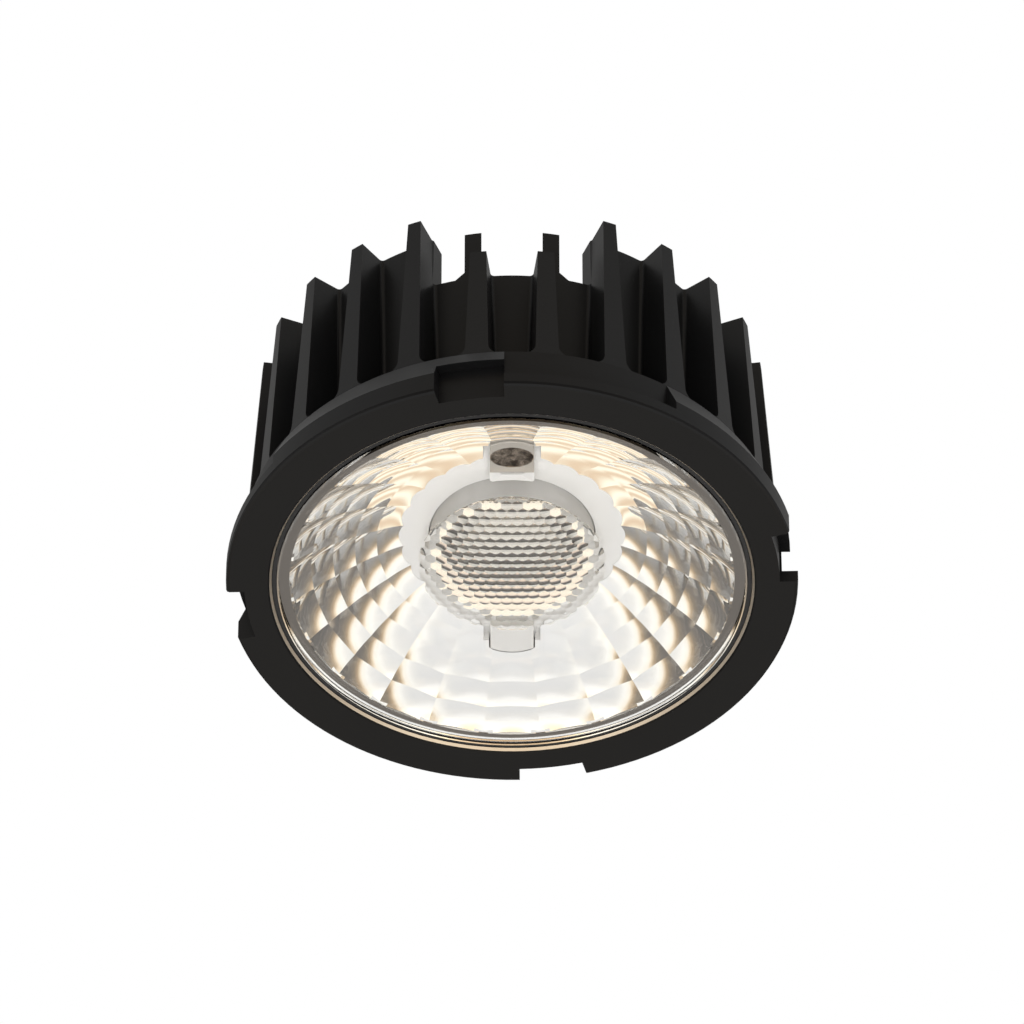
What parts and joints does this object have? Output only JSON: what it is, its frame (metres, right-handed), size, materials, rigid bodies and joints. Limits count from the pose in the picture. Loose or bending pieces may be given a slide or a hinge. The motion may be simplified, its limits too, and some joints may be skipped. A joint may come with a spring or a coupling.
{
  "type": "led module",
  "caption": "Round LED spot module: black finned die-cast heat sink, scooped bright reflector, clear cover and a round micro-lens on a white collar.",
  "frame": {"origin": "centre of the flat front face of the ring, on the optical axis", "axes": "+Z along the optical axis from the front face up to the fin tops, so the light leaves towards -Z; the cable side of the rear wall is at -Y"},
  "size_m": [0.05, 0.05, 0.0244],
  "materials": {
    "body_black": "satin black powder coat on a die casting",
    "cover_clear": "clear, polished",
    "gasket_black": "matt",
    "reflector_metal": "bright metallised plastic",
    "collar_white": "semi-gloss",
    "lens_clear": "clear moulded acrylic with a honeycomb of micro-lenses on its front",
    "tube_white": "fine matt",
    "screw_bright": "bright zinc",
    "pad_grey": "matt",
    "board_ceramic": "matt",
    "phosphor_yellow": "soft silicone with phosphor",
    "dam_white": "satin silicone",
    "holder_white": "fine matt",
    "contact_brass": "rolled",
    "terminal_grey": "fine matt",
    "clip_steel": "plated"
  },
  "bodies": {
    "root": {"heat_sink": "body_black", "cover_glass": "cover_clear", "cover_gasket": "gasket_black", "reflector": "reflector_metal", "lens_collar": "collar_white", "dome_lens": "lens_clear", "light_tube": "tube_white", "collar_pins": "screw_bright", "holder_screws": "screw_bright", "thermal_pad": "pad_grey", "cob_board": "board_ceramic", "phosphor_disc": "phosphor_yellow", "cob_dam": "dam_white", "cob_holder": "holder_white", "contact_springs": "contact_brass", "feed_bushes": "holder_white", "feed_pins": "contact_brass", "terminal_block": "terminal_grey", "terminal_clips": "clip_steel", "terminal_screws": "clip_steel"}
  },
  "joints": []
}
